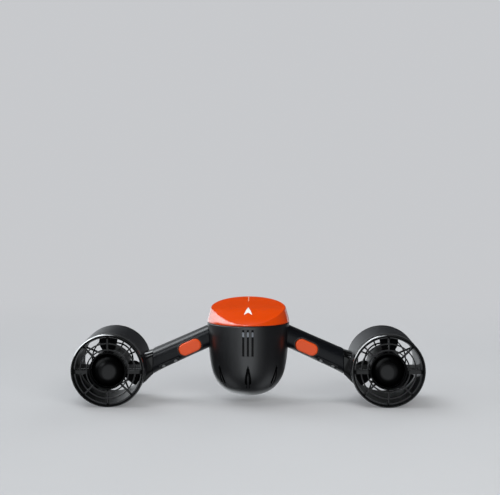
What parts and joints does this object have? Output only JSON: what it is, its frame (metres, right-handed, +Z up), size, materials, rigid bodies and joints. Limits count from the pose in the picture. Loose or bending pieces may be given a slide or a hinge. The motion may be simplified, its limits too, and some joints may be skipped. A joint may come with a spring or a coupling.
{
  "type": "underwater scooter",
  "caption": "Hand-held twin-thruster underwater scooter: bullet-shaped battery hull with a twist-off cap, sloping grip arms with triggers, and ducted propellers behind round grilles.",
  "frame": {"origin": "on the floor plane under the hull's vertical axis, the bottom centre of the whole object's box", "axes": "+X to the rider's right, across both thrusters; +Y the direction of travel, water leaves the ducts towards -Y; +Z up, along the hull's axis"},
  "size_m": [0.49, 0.116, 0.1441],
  "materials": {
    "hull_plastic": "satin moulded",
    "arm_plastic": "satin moulded",
    "arm_cover_plastic": "satin moulded",
    "nacelle_plastic": "satin moulded",
    "gloss_black": "polished",
    "duct_plastic": "satin",
    "orange_gloss": "polished",
    "orange_button": "soft satin",
    "white_mark": "satin",
    "propeller_plastic": "satin",
    "inner_plastic": "moulded",
    "seal_rubber": "matt",
    "cable_rubber": "matt",
    "steel": "turned",
    "brass": "turned",
    "copper": "enamelled wire",
    "stator_steel": "laminated and coated",
    "magnet": "nickel plated",
    "board": "coated board",
    "cell_wrap": "shrink sleeve"
  },
  "bodies": {
    "hull": {"hull_shell": "hull_plastic", "camera_insert": "brass", "indicator_lenses": "gloss_black", "sensor_contacts": "steel", "battery_bay": "inner_plastic", "bay_contacts": "brass", "bayonet_collar": "inner_plastic", "collar_screws": "steel", "cap_seal": "seal_rubber", "controller_board": "board", "arm_cover_screws": "steel", "arm_end_screws": "steel", "trigger_sensors": "board", "motor_bearings": "steel", "left_arm_shell": "arm_plastic", "right_arm_shell": "arm_plastic", "left_arm_cover": "arm_cover_plastic", "right_arm_cover": "arm_cover_plastic", "left_trigger_spring": "steel", "right_trigger_spring": "steel", "left_nacelle_shell": "nacelle_plastic", "right_nacelle_shell": "nacelle_plastic", "left_duct_liner": "duct_plastic", "right_duct_liner": "duct_plastic", "left_outlet_grille": "gloss_black", "right_outlet_grille": "gloss_black", "left_tail_cone": "gloss_black", "right_tail_cone": "gloss_black", "left_intake_grille": "gloss_black", "right_intake_grille": "gloss_black", "left_stator_windings": "copper", "right_stator_windings": "copper", "left_arm_saddle": "gloss_black", "right_arm_saddle": "gloss_black", "motor_cables": "cable_rubber", "stator_cores": "stator_steel"},
    "battery_pack": {"battery_case": "inner_plastic", "battery_lid": "inner_plastic", "battery_cells": "cell_wrap", "battery_terminals": "brass", "cap_pivot_screw": "steel"},
    "cap": {"cap_shell": "orange_gloss", "cap_plug": "inner_plastic", "cap_mark": "white_mark"},
    "left_rotor": {"left_rotor_bell": "stator_steel", "left_rotor_magnets": "magnet", "left_motor_shaft": "steel", "left_propeller": "propeller_plastic", "left_propeller_nut": "steel", "left_spinner": "propeller_plastic"},
    "right_rotor": {"right_rotor_bell": "stator_steel", "right_rotor_magnets": "magnet", "right_motor_shaft": "steel", "right_propeller": "propeller_plastic", "right_propeller_nut": "steel", "right_spinner": "propeller_plastic"},
    "left_trigger": {"left_trigger_button": "orange_button", "left_trigger_magnet": "magnet"},
    "right_trigger": {"right_trigger_button": "orange_button", "right_trigger_magnet": "magnet"}
  },
  "joints": [
    {"name": "pack_lift", "type": "slide", "parent": "hull", "child": "battery_pack", "axis": [0, 0, 1], "range_m": [0, 0.085]},
    {"name": "cap_twist", "type": "hinge", "parent": "battery_pack", "child": "cap", "pos_m": [0, 0, 0.1147], "axis": [0, 0, 1], "range_deg": [0, 45]},
    {"name": "left_prop_spin", "type": "hinge", "parent": "hull", "child": "left_rotor", "pos_m": [-0.194, 0, 0.051], "axis": [0, 1, 0], "continuous": true},
    {"name": "right_prop_spin", "type": "hinge", "parent": "hull", "child": "right_rotor", "pos_m": [0.194, 0, 0.051], "axis": [0, 1, 0], "continuous": true},
    {"name": "left_trigger_press", "type": "slide", "parent": "hull", "child": "left_trigger", "axis": [0, 1, 0], "range_m": [0, 0.0025], "stiffness_N_per_m": 400, "springref_m": -0.001, "deforming": ["left_trigger_spring"]},
    {"name": "right_trigger_press", "type": "slide", "parent": "hull", "child": "right_trigger", "axis": [0, 1, 0], "range_m": [0, 0.0025], "stiffness_N_per_m": 400, "springref_m": -0.001, "deforming": ["right_trigger_spring"]}
  ]
}
